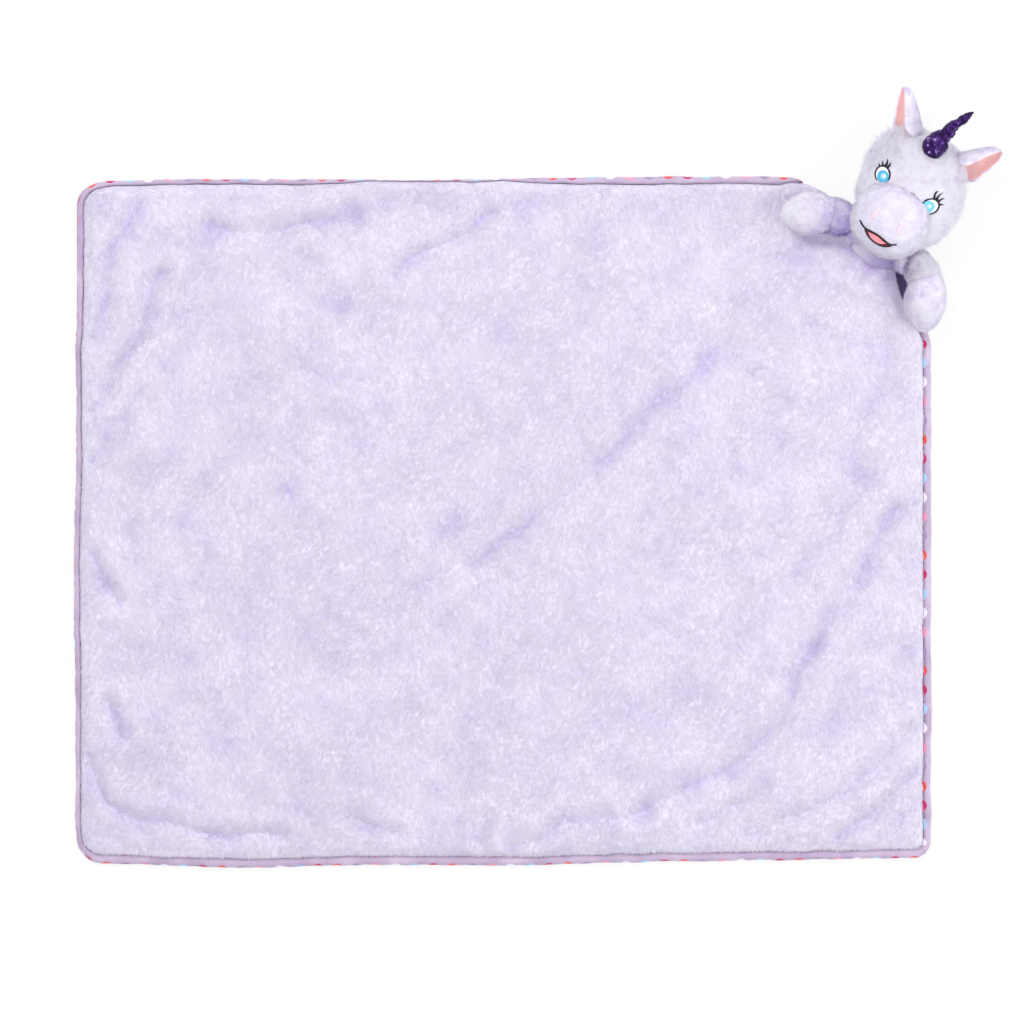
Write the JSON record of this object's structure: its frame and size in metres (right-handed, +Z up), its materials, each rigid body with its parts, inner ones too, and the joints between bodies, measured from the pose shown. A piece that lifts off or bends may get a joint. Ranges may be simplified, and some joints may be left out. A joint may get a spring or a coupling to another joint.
{
  "type": "comfort blanket lovey",
  "caption": "Plush comfort blanket with a dotted back and bound edges, and a stuffed unicorn head with horn, ears and arms sewn to its drawn-in corner.",
  "frame": {"origin": "centre of the whole object's plan box, on the surface that the blanket lies on", "axes": "+X along the blanket's length towards the toy's end, +Y along its width towards the edge that the toy lies at, +Z up out of the plush side"},
  "size_m": [0.9938, 0.829, 0.1216],
  "materials": {
    "lavender_plush": "long matt pile",
    "pale_short_plush": "short matt pile",
    "dotted_fleece": "smooth minky with polka dots",
    "polyester_stuffing": "loose fibre",
    "pink_lining": "smooth short pile",
    "purple_lame": "crinkled metallic cloth",
    "white_thread": "satin stitch",
    "blue_thread": "satin stitch",
    "black_thread": "satin stitch",
    "dark_red_thread": "satin stitch",
    "pink_thread": "satin stitch"
  },
  "bodies": {
    "blanket": {"binding_bottom": "dotted_fleece", "binding_left": "dotted_fleece", "binding_right": "dotted_fleece", "binding_top": "dotted_fleece", "blanket_back": "dotted_fleece", "blanket_front": "lavender_plush", "bust_cover": "lavender_plush", "bust_stuffing": "polyester_stuffing"},
    "neck": {"neck_stuffing": "polyester_stuffing"},
    "head": {"eye_left_highlight": "white_thread", "eye_left_iris": "blue_thread", "eye_left_outline": "black_thread", "eye_left_white": "white_thread", "eye_right_highlight": "white_thread", "eye_right_iris": "blue_thread", "eye_right_outline": "black_thread", "eye_right_white": "white_thread", "head_cover": "lavender_plush", "head_stuffing": "polyester_stuffing", "mouth_lining": "dark_red_thread", "mouth_outline": "black_thread", "muzzle_cover": "pale_short_plush", "muzzle_stuffing": "polyester_stuffing", "nostril_left": "pink_thread", "nostril_right": "pink_thread", "tongue": "pink_thread"},
    "shoulder_left": {"shoulder_left_stuffing": "polyester_stuffing"},
    "shoulder_right": {"shoulder_right_stuffing": "polyester_stuffing"},
    "arm_left": {"arm_left_cover": "lavender_plush", "arm_left_stuffing": "polyester_stuffing", "hoof_left_cover": "pale_short_plush"},
    "arm_right": {"arm_right_cover": "lavender_plush", "arm_right_stuffing": "polyester_stuffing", "hoof_right_cover": "pale_short_plush"},
    "ear_left": {"ear_left_lining": "pink_lining", "ear_left_outer": "lavender_plush"},
    "ear_right": {"ear_right_lining": "pink_lining", "ear_right_outer": "lavender_plush"},
    "horn": {"horn_cover": "purple_lame", "horn_stuffing": "polyester_stuffing"}
  },
  "joints": [
    {"name": "neck_nod", "type": "hinge", "parent": "blanket", "child": "neck", "pos_m": [0.36712, 0.25639, 0.0274], "axis": [0.8572, -0.515, 0], "range_deg": [0, 30]},
    {"name": "head_turn", "type": "hinge", "parent": "neck", "child": "head", "pos_m": [0.36712, 0.25639, 0.0274], "axis": [0.515, 0.8572, 0], "range_deg": [-8, 12], "stiffness_Nm_per_rad": 0.15},
    {"name": "arm_left_sweep", "type": "hinge", "parent": "blanket", "child": "shoulder_left", "pos_m": [0.3342, 0.26568, 0.0244], "axis": [0, 0, 1], "range_deg": [-5, 30], "stiffness_Nm_per_rad": 0.03},
    {"name": "arm_left_lift", "type": "hinge", "parent": "shoulder_left", "child": "arm_left", "pos_m": [0.3342, 0.26568, 0.0244], "axis": [0.1842, 0.9829, 0], "range_deg": [0, 25]},
    {"name": "arm_right_sweep", "type": "hinge", "parent": "blanket", "child": "shoulder_right", "pos_m": [0.39078, 0.23168, 0.0244], "axis": [0, 0, -1], "range_deg": [-15, 30], "stiffness_Nm_per_rad": 0.03},
    {"name": "arm_right_lift", "type": "hinge", "parent": "shoulder_right", "child": "arm_right", "pos_m": [0.39078, 0.23168, 0.0244], "axis": [-0.9775, -0.2111, 0], "range_deg": [0, 25]},
    {"name": "ear_left_fold", "type": "hinge", "parent": "head", "child": "ear_left", "pos_m": [0.39113, 0.36547, 0.05361], "axis": [0.1736, -0.0015, 0.9848], "range_deg": [-12, 25], "stiffness_Nm_per_rad": 0.04},
    {"name": "ear_right_fold", "type": "hinge", "parent": "head", "child": "ear_right", "pos_m": [0.45277, 0.32595, 0.05367], "axis": [0.224, -0.4126, -0.8829], "range_deg": [-8, 25], "stiffness_Nm_per_rad": 0.04},
    {"name": "horn_tilt", "type": "hinge", "parent": "head", "child": "horn", "pos_m": [0.42067, 0.35038, 0.07933], "axis": [0.8572, -0.515, 0], "range_deg": [-15, 20], "stiffness_Nm_per_rad": 0.1}
  ]
}
